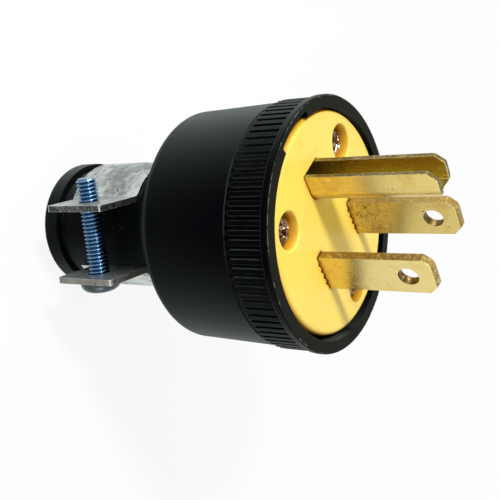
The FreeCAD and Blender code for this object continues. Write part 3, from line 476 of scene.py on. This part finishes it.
# the thread roots' darker colour in these looks is painted shade
faceScrewLook = dict(screwLook, groove=picked(96, 88, 78), roughness=0.08)
clampScrewLook = dict(screwLook, clean=picked(104, 146, 180), stain=picked(50, 90, 130),
                      bright=picked(214, 226, 236), spot=picked(30, 38, 48), groove=picked(28, 56, 88),
                      head=picked(66, 76, 78), headFrom=0.0066, headTo=0.0067,
                      stainScale=260.0, stainLow=0.45, stainHigh=0.7, stainAmount=0.6, roughness=0.22)
insertBrassLook = dict(screwLook, clean=picked(206, 172, 88), stain=picked(150, 116, 44),
                       bright=picked(236, 214, 150))
terminalBrassLook = dict(insertBrassLook, roughness=0.2)
terminalGreenLook = dict(screwLook, clean=picked(38, 118, 62), stain=picked(20, 76, 40),
                         bright=picked(120, 180, 130), metallic=0.75, roughness=0.34)
washerLook = dict(screwLook, clean=picked(184, 186, 182), stain=picked(120, 122, 118), roughness=0.36)

finishes = {
    "housing": paintHousing(housingLook),
    "front_face": paintInsert(insertLook),
    "blade_retainer": paintRetainer(retainerLook),
    "line_blade": paintMetal("pittedBrass", pittedLook),
    "neutral_blade": paintMetal("bladeBrass", bladeLook),
    "ground_pin": paintMetal("pinBrass", pinLook),
    "line_terminal_screw": paintMetal("terminalBrass", terminalBrassLook),
    "neutral_terminal_screw": paintMetal("terminalNickel", screwLook),
    "ground_terminal_screw": paintMetal("terminalGreen", terminalGreenLook),
    "line_wire_clamp": paintMetal("washerZinc", washerLook),
    "boss_insert_near": paintMetal("insertBrass", insertBrassLook),
    "clamp_upper": paintMetal("clampZinc", clampLook),
    "clamp_lower": paintMetal("clampZincLower", lowerClampLook),
}
finishes["neutral_wire_clamp"] = finishes["line_wire_clamp"]
finishes["ground_wire_clamp"] = finishes["line_wire_clamp"]
finishes["boss_insert_far"] = finishes["boss_insert_near"]
finishes["boss_insert_low"] = finishes["boss_insert_near"]
blueZinc = paintMetal("clampScrewZinc", clampScrewLook)
nickel = paintMetal("faceScrewNickel", faceScrewLook)
for name, material in finishes.items():
    for slot in nodes[name].material_slots:
        slot.material = material
print("finishes on the frame's own pieces:", len(finishes))


# screws with real threads and cross recesses

def crossRecess(x, y, screw):
    # depth of a cross recess: deepest at the middle, shallower along each arm, steep side walls
    across = np.minimum(np.abs(x), np.abs(y))
    along = np.maximum(np.abs(x), np.abs(y))
    arm = np.clip((screw["armHalf"] - across) / screw["wall"] + 0.5, 0, 1)
    reach = np.clip((screw["armReach"] - along) / (screw["armReach"] - screw["armHalf"]), 0, 1)
    hub = np.clip((screw["armHalf"] * 1.7 - np.hypot(x, y)) / screw["wall"] + 0.5, 0, 1)
    return screw["recessDepth"] * np.maximum(arm * reach ** 0.45, hub)


def screwProfile(screw):
    # radius and height of each row, from the head's middle over its rim, under the head, down the
    # shank and in to the tip; the head is a quarter of (r / rim)^power + (h / head)^power = 1
    rim, length, tip = screw["headRadius"], screw["length"], screw["tipRadius"]
    bend = np.linspace(0, np.pi / 2, screw["domeRows"])
    domeRadius = rim * np.sin(bend) ** (2 / screw["domePower"])
    domeHeight = -screw["headHeight"] * np.cos(bend) ** (2 / screw["domePower"])
    inner = np.linspace(0.04, screw["armReach"] * 1.08, screw["recessRows"])
    outer = domeRadius[domeRadius > inner[-1] * 1.02]
    topRadius = np.concatenate([inner, outer])
    topHeight = np.interp(topRadius, domeRadius, domeHeight)
    shankHeight = np.arange(0, length, screw["pitch"] / screw["rowsPerTurn"])
    shankHeight = np.append(shankHeight[shankHeight < length - 0.01], length)
    radius = np.concatenate([topRadius, [rim * 0.985, rim * 0.7],
                             np.full(len(shankHeight), screw["crestRadius"]), [tip * 0.97, tip * 0.5]])
    height = np.concatenate([topHeight, [0, 0], shankHeight, [length, length]])
    row = np.arange(len(radius))
    onTop = row < len(topRadius)
    onShank = (row >= len(topRadius) + 2) & (row < len(radius) - 2)
    return radius, height, onTop, onShank


def makeScrew(name, screw, seat, axes, material, node):
    # the profile is carried round the axis; the thread adds a ridge that climbs one pitch in a turn:
    # share of the turn = height / pitch - angle / (2 pi), ridge highest where the share is a half
    radius, height, onTop, onShank = screwProfile(screw)
    rows, sides = len(radius), screw["sides"]
    angle = np.linspace(0, 2 * np.pi, sides, endpoint=False)
    turnShare = (height[:, None] / screw["pitch"] - angle[None, :] / (2 * np.pi)) % 1
    ridge = np.clip((1 - np.abs(2 * turnShare - 1)) * 1.3 - 0.12, 0, 1)
    ridge = ridge * np.clip((height[:, None] - 0.1) / 0.4, 0, 1)
    chamfer = screw["tipRadius"] + np.clip(screw["length"] - height[:, None], 0, 9)
    root, crest = screw["rootRadius"], screw["crestRadius"]
    threaded = np.minimum(root + (crest - root) * ridge, chamfer)
    wide = np.where(onShank[:, None], threaded, radius[:, None] + 0 * angle[None, :])
    x, y = wide * np.cos(angle), wide * np.sin(angle)
    z = height[:, None] + onTop[:, None] * crossRecess(x, y, screw)
    points = np.stack([x, y, z], axis=-1).reshape(-1, 3)
    middle = -screw["headHeight"] + crossRecess(np.zeros(1), np.zeros(1), screw)[0]
    points = np.vstack([points, [[0, 0, middle], [0, 0, screw["length"]]]]) * 0.001
    points = points @ np.array(axes, dtype=float) + np.array(seat)
    row, side = np.meshgrid(np.arange(rows - 1), np.arange(sides), indexing="ij")
    after = (side + 1) % sides
    quads = np.stack([row * sides + side, (row + 1) * sides + side,
                      (row + 1) * sides + after, row * sides + after], axis=-1).reshape(-1, 4)
    ring = np.arange(sides)
    firstFan = np.stack([np.full(sides, rows * sides), ring, (ring + 1) % sides], axis=-1)
    lastRow = (rows - 1) * sides
    lastFan = np.stack([np.full(sides, rows * sides + 1), lastRow + (ring + 1) % sides, lastRow + ring],
                       axis=-1)
    mesh = bpy.data.meshes.new(name)
    mesh.from_pydata(points.tolist(), [], quads.tolist() + firstFan.tolist() + lastFan.tolist())
    mesh.polygons.foreach_set("use_smooth", np.ones(len(mesh.polygons), dtype=bool))
    onCrest = np.where(onShank[:, None], ridge, 1.0).reshape(-1)
    layer = mesh.attributes.new("threadCrest", "FLOAT", "POINT")
    layer.data.foreach_set("value", np.append(onCrest, [1.0, 1.0]).astype(np.float32))
    mesh.materials.append(material)
    mesh.update()
    piece = bpy.data.objects.new(name, mesh)
    bpy.context.scene.collection.objects.link(piece)
    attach(piece, "root")
    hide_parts(node)
    return piece


def seatScrew(name, screw, node, outward, turn, material):
    # the head faces outward, along X (0) or Z (2), at that end of the node's box
    low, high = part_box(node)
    seat = [(lower + upper) / 2 for lower, upper in zip(low, high)]
    seat[outward] = high[outward] - screw["headHeight"] * 0.001
    cosine, sine = np.cos(np.radians(turn)), np.sin(np.radians(turn))
    axes = np.roll([[cosine, sine, 0], [sine, -cosine, 0], [0, 0, -1]], outward + 1, axis=1)
    makeScrew(name, screw, seat, axes, material, node)


clampScrew = {
    "headRadius": 3.43, "headHeight": 2.3, "domePower": 2.9, "length": 16.9,
    "crestRadius": 1.75, "rootRadius": 1.38, "pitch": 0.635, "tipRadius": 1.4,
    "armHalf": 0.5, "armReach": 1.75, "wall": 0.22, "recessDepth": 1.25,
    "rowsPerTurn": 10, "domeRows": 26, "recessRows": 34, "sides": 72,
    "turns": {"clampScrewNear": ("clamp_screw_near", 0), "clampScrewFar": ("clamp_screw_far", 0)},
}
faceScrew = {
    "headRadius": 2.55, "headHeight": 1.9, "domePower": 3.6, "length": 13.0,
    "crestRadius": 1.42, "rootRadius": 1.05, "pitch": 0.9, "tipRadius": 1.1,
    "armHalf": 0.42, "armReach": 1.5, "wall": 0.2, "recessDepth": 1.15,
    "rowsPerTurn": 8, "domeRows": 26, "recessRows": 34, "sides": 72,
    "turns": {"faceScrewNear": ("face_screw_near", 25), "faceScrewFar": ("face_screw_far", 60),
              "faceScrewLow": ("face_screw_low", 5)},
}
for name, (node, turn) in clampScrew["turns"].items():
    seatScrew(name, clampScrew, node, 0, turn, blueZinc)
for name, (node, turn) in faceScrew["turns"].items():
    seatScrew(name, faceScrew, node, 2, turn, nickel)
print("screws made")


# floor, background and light

stageLook = {"floor": picked(243, 243, 242), "floorSize": 3.0, "whiteShare": 0.88, "fade": (0.08, 0.34),
             "skyLevel": 0.45}


def rayShown(tree):
    # 1 for the camera and for what metal mirrors or glass lets through
    path = addNode(tree, "LightPath").outputs
    return calc(tree, "MAXIMUM", path["Is Camera Ray"],
                calc(tree, "MAXIMUM", path["Is Glossy Ray"], path["Is Transmission Ray"]))


def makeStage(look):
    half = look["floorSize"] / 2
    mesh = bpy.data.meshes.new("floor")
    corners = [(-half, -half, 0), (half, -half, 0), (half, half, 0), (-half, half, 0)]
    mesh.from_pydata(corners, [], [(0, 1, 2, 3)])
    floor = bpy.data.objects.new("floor", mesh)
    bpy.context.scene.collection.objects.link(floor)
    material = bpy.data.materials.new("floorPaper")
    material.use_nodes = True
    tree = material.node_tree
    tree.nodes.clear()
    paper = addNode(tree, "BsdfDiffuse", {"Color": look["floor"]})
    white = addNode(tree, "Emission", {"Color": (1.0, 1.0, 1.0, 1.0), "Strength": 1.0})
    seen = rayShown(tree)
    spot = addNode(tree, "TexCoord").outputs["Object"]
    away = addNode(tree, "VectorMath", {0: spot}, operation="LENGTH").outputs["Value"]
    fade = calc(tree, "MULTIPLY_ADD", window(tree, away, *look["fade"]), 1 - look["whiteShare"],
                look["whiteShare"])
    share = calc(tree, "MULTIPLY", seen, fade)
    mix = addNode(tree, "MixShader", {0: share, 1: paper.outputs[0], 2: white.outputs[0]})
    output = addNode(tree, "OutputMaterial")
    tree.links.new(mix.outputs[0], output.inputs["Surface"])
    mesh.materials.append(material)
    world = bpy.data.worlds.new("studio")
    world.use_nodes = True
    bpy.context.scene.world = world
    tree = world.node_tree
    background = tree.nodes["Background"]
    tree.links.new(calc(tree, "MULTIPLY_ADD", rayShown(tree), 1 - look["skyLevel"], look["skyLevel"]),
                   background.inputs["Strength"])
    background.inputs["Color"].default_value = (1.0, 1.0, 1.0, 1.0)


lamps = {
    "keyLamp": {"place": (-0.30, -0.17, 0.38), "size": 0.07, "power": 1.9},
    "topLamp": {"place": (-0.42, 0.08, 0.12), "size": 0.22, "power": 0.8},
    "lowLamp": {"place": (0.34, -0.20, 0.10), "size": 0.22, "power": 0.4},
}


def makeLamps(lamps):
    target = Vector((0.0, 0.0, 0.036))
    for name, lamp in lamps.items():
        data = bpy.data.lights.new(name, "AREA")
        data.shape = "DISK"
        data.size = lamp["size"]
        data.energy = lamp["power"]
        holder = bpy.data.objects.new(name, data)
        holder.location = lamp["place"]
        holder.rotation_euler = (target - Vector(lamp["place"])).to_track_quat("-Z", "Y").to_euler()
        bpy.context.scene.collection.objects.link(holder)


photoView = {
    "place": (-0.02328, -0.11400, 0.11313),
    "right": (0.10619, 0.53917, 0.83547),
    "up": (-0.97468, 0.22273, -0.01985),
    "lens": 60.83,
}


def makeCamera(view):
    data = bpy.data.cameras.new("photoCamera")
    data.lens = view["lens"]
    data.sensor_width = 36.0
    data.clip_start = 0.005
    camera = bpy.data.objects.new("photoCamera", data)
    right, up = Vector(view["right"]).normalized(), Vector(view["up"]).normalized()
    back = right.cross(up).normalized()
    axes = Matrix((right, back.cross(right), back)).transposed().to_4x4()
    camera.matrix_world = Matrix.Translation(view["place"]) @ axes
    bpy.context.scene.collection.objects.link(camera)
    bpy.context.scene.camera = camera


makeStage(stageLook)
makeLamps(lamps)
makeCamera(photoView)
bpy.context.scene.view_settings.view_transform = "Standard"
print("stage, lamps and camera made")
